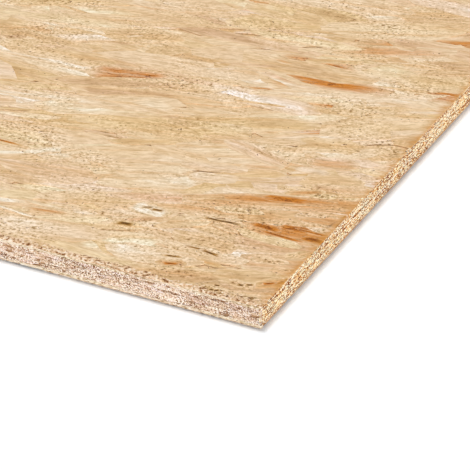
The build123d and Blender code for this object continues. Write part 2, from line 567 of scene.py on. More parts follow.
# %% [markdown]
# The points start as a grid, so that no place is left bare, and each is moved at random within its
# cell. A random number is tied to the point's own index and the seed, so every run gives the same.
# Each use of a random number in this tree has a seed of its own, too.

# %% Points scattered over the area
SEED_STEP = 100000
CELL_SEED = 1
grid = add_node(lay_up, "GeometryNodeMeshGrid", [given["Area Length"], given["Area Width"],
                                                 given["Columns"], given["Rows"]])
points = add_node(lay_up, "GeometryNodeMeshToPoints", {"Mesh": grid})
point_number = add_node(lay_up, "ShaderNodeMath",
                        [given["Seed"], SEED_STEP, add_node(lay_up, "GeometryNodeInputIndex")],
                        operation="MULTIPLY_ADD")
cell_length = add_node(lay_up, "ShaderNodeMath", [given["Area Length"], given["Columns"]],
                       operation="DIVIDE")
cell_width = add_node(lay_up, "ShaderNodeMath", [given["Area Width"], given["Rows"]],
                      operation="DIVIDE")
cell = add_node(lay_up, "ShaderNodeCombineXYZ", [cell_length, cell_width])
share_of_cell = add_node(lay_up, "FunctionNodeRandomValue",
                         {"Min": (-0.5, -0.5, 0), "Max": (0.5, 0.5, 0), "ID": point_number,
                          "Seed": CELL_SEED}, data_type="FLOAT_VECTOR")
shift = add_node(lay_up, "ShaderNodeVectorMath", [cell, share_of_cell], operation="MULTIPLY")
centre = add_node(lay_up, "ShaderNodeCombineXYZ", [given["Centre X"], given["Centre Y"]])
moved = add_node(lay_up, "ShaderNodeVectorMath", [shift, centre], operation="ADD")
scattered = add_node(lay_up, "GeometryNodeSetPosition", {"Geometry": points, "Offset": moved})
print(len(lay_up.nodes), "nodes up to the scattered points")

# %% [markdown]
# On a face the strands lie roughly along the sheet. Near the end that the picture shows they lean a
# little to one side, and this drift fades along the sheet. On a sawn edge the middle layer lies
# crosswise to the two outer ones, so a strand there is cut across where its neighbours in the other
# layers are cut along, and shows only its breadth.

# %% Lean and layer of a scattered strand
place = add_node(lay_up, "ShaderNodeSeparateXYZ",
                 [add_node(lay_up, "GeometryNodeInputPosition")]).outputs
from_end = add_node(lay_up, "ShaderNodeMath", [cad_high.x, place["X"]], operation="SUBTRACT")
drift = add_node(lay_up, "ShaderNodeMapRange", {"Value": from_end, "From Max": given["Drift Reach"],
                                                "To Min": given["Drift"], "To Max": 0.0},
                 interpolation_type="SMOOTHSTEP")
less_spread = add_node(lay_up, "ShaderNodeMath", [given["Lean Spread"], -1.0], operation="MULTIPLY")

above_middle = add_node(lay_up, "ShaderNodeMath", [place["Y"], given["Centre Y"]],
                        operation="SUBTRACT")
from_mid_height = add_node(lay_up, "ShaderNodeMath", [above_middle], operation="ABSOLUTE")
core_height = add_node(lay_up, "ShaderNodeMath", [given["Area Width"], given["Core Share"]],
                       operation="MULTIPLY")
half_core = add_node(lay_up, "ShaderNodeMath", [core_height, 0.5], operation="MULTIPLY")
in_core = add_node(lay_up, "ShaderNodeMath", [from_mid_height, half_core], operation="LESS_THAN")
unlike = add_node(lay_up, "ShaderNodeMath", [in_core, given["Core Cut Across"]],
                  operation="SUBTRACT")
cut_along = add_node(lay_up, "ShaderNodeMath", [unlike], operation="ABSOLUTE")
cut_across = add_node(lay_up, "ShaderNodeMath", [1.0, cut_along], operation="SUBTRACT")
print(len(lay_up.nodes), "nodes up to the layers")

# %% [markdown]
# Each strand then draws its size, depth, tint and stain. Some are slivers, shorter and far narrower.
# Few are stained, and of those few deeply, so the draw for the stain's depth is squared. All of it
# is stored on the point, where the blank and, later, the materials can read it.

# %% What each scattered strand is like
FIRST_DRAW_SEED = 2
CHOSEN_DEPTH = 0.05
SCATTERED_DEPTH = 0.12
SLIVER_LENGTH_SHARE, SLIVER_WIDTH_SHARE = 0.45, 0.22
STAIN_RARITY = 2.0
FAINT_STAIN, DEEP_STAIN = 0.15, 1.5
draw_ranges = {"scatter": (less_spread, given["Lean Spread"]), "sliver": (0.0, 1.0),
               "length": (given["Shortest"], given["Longest"]),
               "width": (given["Narrowest"], given["Widest"]), "depth": (SCATTERED_DEPTH, 1.0),
               "tint": (0.0, 1.0), "stained": (0.0, 1.0), "stain": (0.0, 1.0)}
draws = {name: add_node(lay_up, "FunctionNodeRandomValue", {"Min": least, "Max": most,
                                                            "ID": point_number, "Seed": seed})
         for seed, (name, (least, most)) in enumerate(draw_ranges.items(), FIRST_DRAW_SEED)}
lean = add_node(lay_up, "ShaderNodeMath", [drift, draws["scatter"]], operation="ADD")
is_sliver = add_node(lay_up, "ShaderNodeMath", [draws["sliver"], given["Sliver Share"]],
                     operation="LESS_THAN")
sliver_length, sliver_width = [
    add_node(lay_up, "ShaderNodeMix", {"Factor": is_sliver, "A": 1.0, "B": share})
    for share in (SLIVER_LENGTH_SHARE, SLIVER_WIDTH_SHARE)]
shown_share = add_node(lay_up, "ShaderNodeMix", {"Factor": cut_across, "A": 1.0,
                                                 "B": given["Cut Across Length"]})
shown_length = add_node(lay_up, "ShaderNodeMath", [draws["length"], shown_share],
                        operation="MULTIPLY")
strand_length = add_node(lay_up, "ShaderNodeMath", [shown_length, sliver_length],
                         operation="MULTIPLY")
strand_width = add_node(lay_up, "ShaderNodeMath", [draws["width"], sliver_width],
                        operation="MULTIPLY")
is_stained = add_node(lay_up, "ShaderNodeMath", [draws["stained"], given["Stain Share"]],
                      operation="LESS_THAN")
rare_depth = add_node(lay_up, "ShaderNodeMath", [draws["stain"], STAIN_RARITY], operation="POWER")
stain_depth = add_node(lay_up, "ShaderNodeMapRange", {"Value": rare_depth, "To Min": FAINT_STAIN,
                                                      "To Max": DEEP_STAIN})
stain = add_node(lay_up, "ShaderNodeMath", [is_stained, stain_depth], operation="MULTIPLY")

strand_values = {"strand_length": strand_length, "strand_width": strand_width, "lean": lean,
                 "depth": draws["depth"], "tint": draws["tint"], "stain": stain, "rim_stain": 0.0,
                 "rough": 0.0, "cut_across": cut_across}
described = scattered
for name, value in strand_values.items():
    described = add_node(lay_up, "GeometryNodeStoreNamedAttribute",
                         {"Geometry": described, "Name": name, "Value": value},
                         data_type="FLOAT", domain="POINT")
print("each strand carries", ", ".join(strand_values))

# %% [markdown]
# Strands that are listed one by one join the scattered ones here, with the same values. All are then
# sorted from the deepest to the topmost, as they fall on the mat. The blank is a thin closed plate
# with a few stations along it, and each of its corners knows its own number: a whole step for each
# station, plus one for the side that it lies on, cut to a whole number.

# %% A blank on every point
CORNER_STEP = 120
CORNER_ROOM = 256
FIRST_CORNER = CORNER_STEP / 2 + 0.75
chosen = add_node(lay_up, "GeometryNodeMeshToPoints", {"Mesh": given["Chosen Strands"]})
together = add_node(lay_up, "GeometryNodeJoinGeometry", [described])
lay_up.links.new(chosen.outputs[0], together.inputs[0])
read_depth = add_node(lay_up, "GeometryNodeInputNamedAttribute", {"Name": "depth"})
from_below = add_node(lay_up, "ShaderNodeMath", [read_depth, -1.0], operation="MULTIPLY")
in_order = add_node(lay_up, "GeometryNodeSortElements", {"Geometry": together,
                                                         "Sort Weight": from_below})
numbered = add_node(lay_up, "GeometryNodeStoreNamedAttribute",
                    {"Geometry": in_order, "Name": "strand",
                     "Value": add_node(lay_up, "GeometryNodeInputIndex")},
                    data_type="INT", domain="POINT")
plate = add_node(lay_up, "GeometryNodeMeshCube", [(1, 1, 1), given["Stations"], 2, 2])
plate_place = add_node(lay_up, "GeometryNodeInputPosition")
placed = add_node(lay_up, "GeometryNodeStoreNamedAttribute",
                  {"Geometry": plate, "Name": "blank", "Value": plate_place},
                  data_type="FLOAT_VECTOR", domain="POINT")
corner_sum = add_node(lay_up, "ShaderNodeVectorMath", [plate_place, (CORNER_STEP, 1, 0)],
                      operation="DOT_PRODUCT")
corner_number = add_node(lay_up, "ShaderNodeMath", [corner_sum, FIRST_CORNER], operation="ADD")
blank = add_node(lay_up, "GeometryNodeStoreNamedAttribute",
                 {"Geometry": placed, "Name": "corner", "Value": corner_number},
                 data_type="INT", domain="POINT")
laid = add_node(lay_up, "GeometryNodeInstanceOnPoints", {"Points": numbered, "Instance": blank})
loose = add_node(lay_up, "GeometryNodeRealizeInstances", {"Geometry": laid})
print(len(lay_up.nodes), "nodes up to the blanks")

# %% [markdown]
# A knife-cut strand splits along the grain, so its sides waver a little and its ends are ragged or
# pointed. Each corner moves by its own random share, the strand is turned to its lean, dropped to
# its depth and, last, pressed: no corner may stand above the face. Each strand has a ceiling of
# its own, by its depth, because two faces at exactly one height would fight in the render.

# %% Ragged outline, lean and depth
END_FROM = 0.45
SIDE_SHARES, END_SHARES, END_SLIPS = (0.82, 1.1), (0.05, 0.7), (-0.12, 0.08)
RAGGED_SEEDS = (11, 12, 13)
MOST_TILT = (0.025, 0.007, 0)
TILT_SEED = 14
FAR_AWAY = 1000.0
CEILING_SHARE = 0.5
values = {name: add_node(lay_up, "GeometryNodeInputNamedAttribute", {"Name": name})
          for name in strand_values}
blank_place = add_node(lay_up, "GeometryNodeInputNamedAttribute", {"Name": "blank"},
                       data_type="FLOAT_VECTOR")
strand_number = add_node(lay_up, "GeometryNodeInputNamedAttribute", {"Name": "strand"},
                         data_type="INT")
corner = add_node(lay_up, "GeometryNodeInputNamedAttribute", {"Name": "corner"}, data_type="INT")
seeded = add_node(lay_up, "ShaderNodeMath", [given["Seed"], SEED_STEP, strand_number],
                  operation="MULTIPLY_ADD")
corner_id = add_node(lay_up, "ShaderNodeMath", [strand_number, CORNER_ROOM, corner],
                     operation="MULTIPLY_ADD")
along = add_node(lay_up, "ShaderNodeSeparateXYZ", [blank_place]).outputs["X"]
off_centre = add_node(lay_up, "ShaderNodeMath", [along], operation="ABSOLUTE")
at_end = add_node(lay_up, "ShaderNodeMath", [off_centre, END_FROM], operation="GREATER_THAN")
side_share, end_share, end_slip = [
    add_node(lay_up, "FunctionNodeRandomValue", {"Min": least, "Max": most, "ID": corner_id,
                                                 "Seed": seed})
    for seed, (least, most) in zip(RAGGED_SEEDS, (SIDE_SHARES, END_SHARES, END_SLIPS))]
breadth = add_node(lay_up, "ShaderNodeMix", {"Factor": at_end, "A": side_share, "B": end_share})
slip = add_node(lay_up, "ShaderNodeMath", [end_slip, at_end, 1.0], operation="MULTIPLY_ADD")
ragged_share = add_node(lay_up, "ShaderNodeCombineXYZ", [slip, breadth, 1.0])
ragged = add_node(lay_up, "ShaderNodeVectorMath", [blank_place, ragged_share],
                  operation="MULTIPLY")
size = add_node(lay_up, "ShaderNodeCombineXYZ", [values["strand_length"], values["strand_width"],
                                                 given["Strand Thickness"]])
local = add_node(lay_up, "ShaderNodeVectorMath", [ragged, size], operation="MULTIPLY")
tilts = add_node(lay_up, "FunctionNodeRandomValue",
                 {"Min": [-tilt for tilt in MOST_TILT], "Max": MOST_TILT, "ID": seeded,
                  "Seed": TILT_SEED}, data_type="FLOAT_VECTOR")
tilt_share = add_node(lay_up, "ShaderNodeMapRange", {"Value": values["depth"],
                                                     "From Min": CHOSEN_DEPTH})
flatter = add_node(lay_up, "ShaderNodeVectorMath", {"Vector": tilts, "Scale": tilt_share},
                   operation="SCALE")
turn = add_node(lay_up, "ShaderNodeVectorMath",
                [flatter, add_node(lay_up, "ShaderNodeCombineXYZ", [0.0, 0.0, values["lean"]])],
                operation="ADD")
turned = add_node(lay_up, "ShaderNodeVectorRotate", {"Vector": local, "Rotation": turn},
                  rotation_type="EULER_XYZ")
sunk = add_node(lay_up, "ShaderNodeMath", [values["depth"], given["Relief"]], operation="MULTIPLY")
half_strand = add_node(lay_up, "ShaderNodeMath", [given["Strand Thickness"], 0.5, sunk],
                       operation="MULTIPLY_ADD")
drop = add_node(lay_up, "ShaderNodeMath", [half_strand, -1.0], operation="MULTIPLY")
drop_step = add_node(lay_up, "ShaderNodeCombineXYZ", [0.0, 0.0, drop])
here = add_node(lay_up, "GeometryNodeInputPosition")
strand_centre = add_node(lay_up, "ShaderNodeVectorMath", [here, blank_place], operation="SUBTRACT")
lowered = add_node(lay_up, "ShaderNodeVectorMath", [strand_centre, drop_step], operation="ADD")
standing = add_node(lay_up, "ShaderNodeVectorMath", [lowered, turned], operation="ADD")
ceiling = add_node(lay_up, "ShaderNodeMath", [sunk, -CEILING_SHARE], operation="MULTIPLY")
limit = add_node(lay_up, "ShaderNodeCombineXYZ", [FAR_AWAY, FAR_AWAY, ceiling])
pressed = add_node(lay_up, "ShaderNodeVectorMath", [standing, limit], operation="MINIMUM")
centre_x = add_node(lay_up, "ShaderNodeSeparateXYZ", [strand_centre]).outputs["X"]
print(len(lay_up.nodes), "nodes up to the pressing")

# %% [markdown]
# Before the corners move, the tree notes where each one lies on its own strand: along it, across
# it, and the strand's number in the third place, so that no two strands share a piece of pattern.
# The seed shifts that number, so that no lane repeats another.

# %% Pattern places, pressing and finish
STRAND_STEP = 1.37
SEED_SHIFT = 0.61
local_place = add_node(lay_up, "ShaderNodeSeparateXYZ", [local])
seed_step = add_node(lay_up, "ShaderNodeMath", [given["Seed"], SEED_SHIFT], operation="MULTIPLY")
pattern_step = add_node(lay_up, "ShaderNodeMath", [strand_number, STRAND_STEP, seed_step],
                        operation="MULTIPLY_ADD")
pattern_place = add_node(lay_up, "ShaderNodeCombineXYZ",
                         [local_place.outputs["X"], local_place.outputs["Y"], pattern_step])
with_grain = add_node(lay_up, "GeometryNodeStoreNamedAttribute",
                      {"Geometry": loose, "Name": "grain", "Value": pattern_place},
                      data_type="FLOAT_VECTOR", domain="POINT")
with_middle = add_node(lay_up, "GeometryNodeStoreNamedAttribute",
                       {"Geometry": with_grain, "Name": "middle", "Value": centre_x},
                       data_type="FLOAT", domain="POINT")
in_place = add_node(lay_up, "GeometryNodeSetPosition", {"Geometry": with_middle,
                                                        "Position": pressed})
finished = add_node(lay_up, "GeometryNodeSetMaterial", {"Geometry": in_place,
                                                        "Material": given["Finish"]})
add_node(lay_up, "NodeGroupOutput", [finished])
print(len(lay_up.nodes), "nodes in the lay-up tree")

# %% [markdown]
# ## From the tree to a plain mesh
# The tree runs as a modifier on a mesh that holds only the chosen strands' points. Its inputs are
# set by each socket's identifier before it is first evaluated. The result is copied to a plain
# mesh, because the export needs meshes with nothing live on them.

# %% Running the tree
socket_ids = {item.name: item.identifier for item in lay_up.interface.items_tree
              if item.in_out == "INPUT"}
chosen_values = [name for name in strand_values if name != "cut_across"]


def lay_strands(name, finish, sizes, chosen_strands=()):
    """Run the lay-up tree with these sizes and return the strands as one plain mesh."""
    base = bpy.data.meshes.new(name)
    base.from_pydata([strand["middle"] for strand in chosen_strands], [], [])
    for value in chosen_values:
        attribute = base.attributes.new(value, "FLOAT", "POINT")
        attribute.data.foreach_set("value", [strand[value] for strand in chosen_strands])
    carrier = bpy.data.objects.new(name, base)
    bpy.context.scene.collection.objects.link(carrier)
    modifier = carrier.modifiers.new("lay_up", "NODES")
    modifier.node_group = lay_up
    for key, value in sizes.items():
        modifier[socket_ids[key]] = value
    modifier[socket_ids["Finish"]] = finish
    graph = bpy.context.evaluated_depsgraph_get()
    mesh = bpy.data.meshes.new_from_object(carrier.evaluated_get(graph))
    bpy.data.objects.remove(carrier)
    bpy.data.meshes.remove(base)
    return mesh


# %% [markdown]
# ## Sawing to size
# The mill lays the mat too large and saws it square, and so does this script. Each plane cuts away
# what lies outside it and the open rims are closed, so every strand at the edge stays a solid. The
# cut ends of deeper strands spring back a hair further, so no two lie in exactly one plane.

# %% Sawing
ARRIS_BREAK = 0.5 * MM
SPRING_BACK = 0.12 * MM


def saw(mesh, planes):
    """Cut a mesh by planes, each a point and an outward direction, and close what was cut."""
    shape = bmesh.new()
    shape.from_mesh(mesh)
    depth = shape.verts.layers.float["depth"]
    for point, outward in planes:
        everything = shape.verts[:] + shape.edges[:] + shape.faces[:]
        cut = bmesh.ops.bisect_plane(shape, geom=everything, plane_co=point, plane_no=outward,
                                     clear_outer=True)["geom_cut"]
        rims = [part for part in cut if isinstance(part, bmesh.types.BMEdge)]
        bmesh.ops.holes_fill(shape, edges=rims, sides=0)
        for part in cut:
            if isinstance(part, bmesh.types.BMVert):
                part.co -= outward * (part[depth] * SPRING_BACK)
    bmesh.ops.recalc_face_normals(shape, faces=shape.faces[:])
    shape.to_mesh(mesh)
    shape.free()
    return mesh


def side_planes(inset):
    """The four upright saw cuts round the sheet, this far inside its box."""
    return [(Vector((cad_high.x - inset, 0, 0)), Vector((1, 0, 0))),
            (Vector((cad_low.x + inset, 0, 0)), Vector((-1, 0, 0))),
            (Vector((0, cad_high.y - inset, 0)), Vector((0, 1, 0))),
            (Vector((0, cad_low.y + inset, 0)), Vector((0, -1, 0)))]


def arris_planes(height, rise):
    """The narrow bevels along the four arrises of one face, where loose fibres broke away."""
    return [(Vector((point.x, point.y, height)) - outward * ARRIS_BREAK,
             (outward + Vector((0, 0, rise))).normalized())
            for point, outward in side_planes(0)]


# %% [markdown]
# ## A map for each piece
# Each piece's colours are meant to be baked into a picture, and a piece with thousands of strands
# needs a map with no waste. Seen straight on, only the topmost strand shows at any spot, and the
# strands are in order from below, so a flat map works. A long piece is folded into a few rows on it.

# %% Flat map in rows
MAP_NAME = "OFBake"


def map_in_rows(mesh, rows, row_margin):
    """Give a mesh that still lies flat in its own frame a map, folded into rows by strand."""
    count = len(mesh.vertices)
    places = np.zeros(count * 3)
    mesh.vertices.foreach_get("co", places)
    places = places.reshape(-1, 3)
    middles = np.zeros(count)
    mesh.attributes["middle"].data.foreach_get("value", middles)
    low, high = places.min(0), places.max(0)
    row_length = (high[0] - low[0]) / rows
    row = np.clip(((middles - low[0]) / row_length).astype(int), 0, rows - 1)
    along = (places[:, 0] - low[0] - row * row_length + row_margin) / (row_length + 2 * row_margin)
    across = (row + (places[:, 1] - low[1]) / (high[1] - low[1])) / rows
    corners = np.zeros(len(mesh.loops), int)
    mesh.loops.foreach_get("vertex_index", corners)
    layer = mesh.uv_layers.new(name=MAP_NAME)
    layer.uv.foreach_set("vector", np.column_stack([along, across])[corners].ravel())


def finish_piece(name, mesh):
    """Make the mesh an object of the sheet."""
    mesh.name = name
    piece = bpy.data.objects.new(name, mesh)
    bpy.context.scene.collection.objects.link(piece)
    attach(piece, "root")
    triangles = sum(len(polygon.vertices) - 2 for polygon in mesh.polygons)
    print(f"{name}: {len(mesh.polygons)} faces, {triangles} triangles")
    return piece


# %% [markdown]
# ## Strands that the picture shows
# A few strands give this sheet its face: amber heartwood, a dark one that the short edge cuts off,
# a white splinter and some pale neighbours. Random draws would never put them there, so each is
# listed one by one, from where its ends lie in the picture. They are topmost in the mat, and each
# lies a little higher than the one before it in the list. A tint goes from 0, honey, to 1, cream, and
# the splinter's goes past that. A stain past about 2.2 is bark, and a rough value under 0 makes a
# strand smoother.

# %% Chosen strands
Chosen = namedtuple("Chosen", "start_pixel end_pixel width_mm tint stain rim_stain rough",
                    defaults=(0.0, 0.0, 0.0))
chosen_face_strands = [
    # Broad pale and honey strands
    Chosen((100, 164), (200, 170), 20, 0.7),
    Chosen((100, 178), (206, 183), 26, 0.85),
    Chosen((100, 210), (178, 215), 22, 0.8),
    Chosen((104, 248), (204, 262), 25, 0.8),
    Chosen((176, 147), (302, 152), 24, 0.8),
    Chosen((300, 143), (362, 148), 22, 0.05, 0.1),
    Chosen((300, 180), (364, 184), 24, 0.2, 0.1),
    Chosen((308, 187), (368, 192), 16, 0.05, 0.1),
    Chosen((160, 205), (252, 215), 17, 0.15, 0.3, 0.1),
    Chosen((172, 234), (236, 250), 20, 0.05, 0.15, 0.1),
    Chosen((236, 212), (352, 222), 24, 0.1, 0.3, 0.15, -0.6),
    Chosen((296, 215), (352, 226), 17, 0.05, 0.6, 0.2, -0.6),
    Chosen((236, 241), (318, 251), 22, 0.2, 0.15, 0.1),
    Chosen((236, 259), (312, 267), 22, 0.05, 0.25, 0.15),
    Chosen((188, 254), (250, 263), 13, 0.35),
    Chosen((110, 270), (236, 282), 24, 0.15, 0.18),
    Chosen((196, 288), (300, 292), 24, 0.05),
    Chosen((214, 274), (300, 280), 20, 0.05),
    # Smaller strands further back
    Chosen((110, 141), (180, 142), 10, 0.2, 0.2),
    Chosen((206, 141), (256, 143), 9, 0.2, 0.2),
    Chosen((188, 176), (238, 180), 15, 0.65),
    Chosen((182, 164), (246, 171), 12, 0.6),
    Chosen((256, 141), (306, 143), 9, 0.4),
    Chosen((226, 139), (290, 167), 18, 0.65),
    Chosen((240, 166), (286, 168), 8, 0.2, 0.4),
    Chosen((296, 168), (330, 174), 9, 0.85),
    Chosen((306, 161), (360, 166), 18, 0.1, 0.3),
    Chosen((276, 186), (296, 190), 8, 0.35, 0.0, 0.0, 1.0),
    # The long amber streak
    Chosen((110, 196), (262, 202), 14, 0.35, 0.5, 0.1),
    Chosen((176, 199), (384, 207), 21, 0.2, 0.55, 0.15),
    Chosen((284, 204), (376, 211), 16, 0.1, 0.8, 0.3),
    Chosen((308, 194), (338, 198), 8, 0.55, 0.0, 0.0, 1.2),
    Chosen((190, 199), (376, 207), 19, 0.15, 0.7, 0.3),
    Chosen((284, 193), (328, 192), 8, 0.2, 0.55),
    Chosen((222, 196), (344, 204), 14, 0.05, 0.65, 0.35),
    Chosen((262, 197), (308, 202), 9, 0.05, 1.25, 0.6),
    # The dark strand at the short edge
    Chosen((236, 228), (300, 247), 14, 0.65),
    Chosen((244, 225), (350, 245), 18, 0.05, 0.85, 0.25),
    Chosen((249, 223), (282, 231), 9, 0.05, 1.8, 0.6),
    Chosen((258, 230), (302, 242), 3.6, 0.05, 2.12, 0.7),
    Chosen((278, 226), (312, 232), 8.5, 0.05, 2.12, 0.7),
    Chosen((294, 228), (330, 237), 3.2, 0.05, 1.9, 0.7),
    Chosen((302, 237), (326, 243), 7, 0.05, 2.18, 0.8),
    # Rough strands
    Chosen((140, 207), (172, 215), 13, 0.6, 0.0, 0.0, 1.2),
    Chosen((112, 221), (142, 225), 8, 0.4, 0.0, 0.0, 1.4),
    Chosen((214, 208), (266, 213), 9, 0.3, 0.0, 0.0, 0.7),
    Chosen((164, 242), (224, 256), 14, 0.3, 0.0, 0.0, 0.5),
    Chosen((300, 213), (326, 217), 8, 0.1, 0.1, 0.1, 0.7),
    Chosen((228, 281), (254, 288), 10, 0.2, 0.0, 0.0, 1.2),
    Chosen((192, 285), (234, 295), 12, 0.45, 0.0, 0.0, 1.6),
    Chosen((222, 293), (262, 302), 11, 0.45, 0.0, 0.0, 1.6),
    Chosen((284, 257), (312, 254), 11, 0.3, 0.0, 0.0, 0.9),
    Chosen((250, 259), (290, 263), 10, 0.05, 0.15, 0.1, 1.0),
    Chosen((270, 269), (300, 272), 9, 0.05, 0.15, 0.1, 0.9),
    # The white splinter
    Chosen((132, 205), (166, 216), 17, 1.45),
    # Honey stains and ochre chips
    Chosen((122, 220), (164, 218), 6, 0.3, 0.35, 0.1),
    Chosen((254, 285), (304, 281), 14, 0.1, 0.5, 0.15),
    Chosen((154, 262), (188, 264), 9, 0.2, 0.35),
    Chosen((162, 263), (178, 264), 3.8, 0.1, 1.85, 0.4),
    Chosen((261, 284), (277, 283), 4, 0.1, 2.1, 0.3),
    # Dark slivers: some are bark, and some are painted shade and shadow, as marked
    # Painted shade of a thin open crack, drawn as a bark sliver.
    Chosen((197, 216), (247, 226), 4.2, 0.3, 3.2, 0.1),
    # Painted shadow along the side of a strand, drawn as a bark sliver.
    Chosen((184, 245), (212, 252), 3.4, 0.3, 2.7, 0.1),
    Chosen((162, 255), (182, 257), 3.4, 0.3, 2.7, 0.1),
    # Painted shadow along the side of a strand, drawn as a bark sliver.
    Chosen((200, 249), (221, 257), 4.6, 0.3, 2.6, 0.1),
    # These two slivers are the painted shadow that the white splinter casts.
    Chosen((139, 207), (156, 207), 4.4, 1.3, 2.6, 0.05),
    Chosen((149, 209), (166, 211), 5.0, 1.3, 2.6, 0.05),
    Chosen((114, 222), (136, 225), 7.0, 0.3, 2.8, 0.1),
    Chosen((236, 284), (245, 286), 4.6, 0.3, 2.9, 0.1),
    Chosen((245, 285), (254, 285), 3.4, 0.3, 2.9, 0.1),
    # Dark bark-coloured bits at the front cut: painted shade in a gap where a strand is missing
    Chosen((208, 289), (215, 290), 4.0, 0.3, 3.2, 0.1),
    Chosen((213, 285), (221, 286), 3.2, 0.3, 3.1, 0.1),
    Chosen((213, 291), (220, 290), 3.8, 0.3, 3.2, 0.1),
    Chosen((210, 295), (218, 296), 4.0, 0.3, 3.3, 0.1),
    Chosen((224, 298), (233, 299), 4.4, 0.3, 3.2, 0.1),
]


def chosen_strand(order, strand):
    """Turn a chosen strand's two pixels into its place, length and lean on the top face."""
    start = point_on_top(strand.start_pixel)
    end = point_on_top(strand.end_pixel)
    run = end - start
    middle = (start + end) / 2
    depth = CHOSEN_DEPTH * (1 - (order + 1) / (len(chosen_face_strands) + 1))
    return {"middle": (middle.x, middle.y, 0), "strand_length": run.length,
            "strand_width": strand.width_mm * MM, "lean": math.atan2(run.y, run.x),
            "depth": depth, "tint": strand.tint, "stain": strand.stain,
            "rim_stain": strand.rim_stain, "rough": strand.rough}


hand_laid = [chosen_strand(order, strand) for order, strand in enumerate(chosen_face_strands)]
print(len(hand_laid), "strands laid by hand")

# %% [markdown]
# ## The two faces
# A face is laid in lanes along the sheet, as the forming heads lay it, which also keeps each piece
# small. The strands of one lane reach into the next, so no line shows between them. The underside
# is the same lay-up, turned over.

# %% Top and underside
FACE_SIZES = {"Shortest": 70 * MM, "Longest": 150 * MM, "Narrowest": 12 * MM, "Widest": 34 * MM,
              "Strand Thickness": 0.6 * MM, "Relief": 0.5 * MM, "Lean Spread": math.radians(18),
              "Drift": math.radians(15), "Drift Reach": 0.9, "Sliver Share": 0.32,
              "Core Share": 0.0, "Core Cut Across": 1.0, "Cut Across Length": 1.0,
              "Stain Share": 0.08}
LANES = 4
LANE_COLUMNS = 34
LANE_ROWS = 54
OVERLAY = 35 * MM
LANE_OVERLAP = 12 * MM
MAP_ROWS = 3
MAP_MARGIN = 90 * MM
lane_width = panel_width / LANES

Face = namedtuple("Face", "place height rise stations first_seed hand_laid")
faces = {"top": Face(Matrix.Translation((0, 0, cad_high.z)), cad_high.z, rise=1, stations=6,
                     first_seed=1, hand_laid=hand_laid),
         "underside": Face(Matrix.Rotation(math.pi, 4, "X"), cad_low.z, rise=-1, stations=4,
                           first_seed=101, hand_laid=[])}
for name, face in faces.items():
    planes = side_planes(0) + arris_planes(face.height, face.rise)
    for lane in range(LANES):
        lane_low = cad_low.y + lane * lane_width
        in_lane = [strand for strand in face.hand_laid
                   if lane_low <= strand["middle"][1] < lane_low + lane_width]
        sizes = dict(FACE_SIZES)
        sizes.update({"Area Length": panel_length + 2 * OVERLAY, "Centre X": 0.0,
                      "Area Width": lane_width + 2 * LANE_OVERLAP,
                      "Centre Y": lane_low + lane_width / 2, "Columns": LANE_COLUMNS,
                      "Rows": LANE_ROWS, "Stations": face.stations, "Seed": face.first_seed + lane})
        mesh = lay_strands(f"{name}_strands", face_wood, sizes, in_lane)
        mesh.transform(face.place)
        saw(mesh, planes)
        map_in_rows(mesh, MAP_ROWS, MAP_MARGIN)
        finish_piece(f"{name}_strands_{lane + 1}", mesh)

# %% [markdown]
# ## The four sawn edges
# Each edge is laid flat by the same tree, as if the cut were a face, and then stood up against its
# side of the sheet. On the long edges the middle layer shows end grain between two layers of long
# streaks, and on the short edges it is the other way round.

# %% Edges
EDGE_INSET = 0.05 * MM
FACE_LAYER = 0.4 * MM
EDGE_OVERLAY = 15 * MM
EDGE_SIZES = {"Shortest": 20 * MM, "Longest": 70 * MM, "Narrowest": 0.8 * MM, "Widest": 1.7 * MM,
              "Strand Thickness": 1.2 * MM, "Relief": 0.4 * MM, "Stations": 3,
              "Lean Spread": math.radians(1.5), "Drift": 0.0, "Drift Reach": 1.0,
              "Sliver Share": 0.1, "Core Share": 0.74, "Cut Across Length": 0.36,
              "Stain Share": 0.1}
EDGE_ROWS = 35
EDGE_PITCH = 12 * MM
EDGE_MAP_ROWS = 8
SHORT_EDGE_INSET = 2 * EDGE_INSET

across_x = Vector((1, 0, 0))
across_y = Vector((0, 1, 0))
upwards = Vector((0, 0, 1))
Edge = namedtuple("Edge", "outward length sheet_depth core_across end_inset finish seed")
edges = {"front_edge": Edge(-across_y, panel_length, panel_width, 1.0, 0.0, "end_grain_sawn_edge", 201),
         "back_edge": Edge(across_y, panel_length, panel_width, 1.0, 0.0, "end_grain_sawn_edge", 202),
         "right_edge": Edge(across_x, panel_width, panel_length, 0.0, SHORT_EDGE_INSET,
                            "long_grain_sawn_edge", 203),
         "left_edge": Edge(-across_x, panel_width, panel_length, 0.0, SHORT_EDGE_INSET,
                           "long_grain_sawn_edge", 204)}

for name, edge in edges.items():
    sizes = dict(EDGE_SIZES)
    sizes.update({"Area Length": edge.length + 2 * EDGE_OVERLAY, "Centre X": 0.0,
                  "Area Width": panel_thickness - 2 * FACE_LAYER, "Centre Y": panel_thickness / 2,
                  "Core Cut Across": edge.core_across, "Columns": int(edge.length / EDGE_PITCH),
                  "Rows": EDGE_ROWS, "Seed": edge.seed})
    mesh = lay_strands(name, edge_woods[edge.finish], sizes)
    end = edge.length / 2 - edge.end_inset
    saw(mesh, [(Vector((end, 0, 0)), across_x), (Vector((-end, 0, 0)), -across_x),
               (Vector((end - ARRIS_BREAK, 0, 0)), (across_x + upwards).normalized()),
               (Vector((ARRIS_BREAK - end, 0, 0)), (upwards - across_x).normalized()),
               (Vector((0, panel_thickness - ARRIS_BREAK, 0)), across_y),
               (Vector((0, ARRIS_BREAK, 0)), -across_y)])
    map_in_rows(mesh, EDGE_MAP_ROWS, MAP_MARGIN)
    along = upwards.cross(edge.outward)
    stand_up = Matrix((along, upwards, edge.outward)).transposed().to_4x4()
    stand_up.translation = edge.outward * (edge.sheet_depth / 2 - EDGE_INSET)
    mesh.transform(stand_up)
    finish_piece(name, mesh)

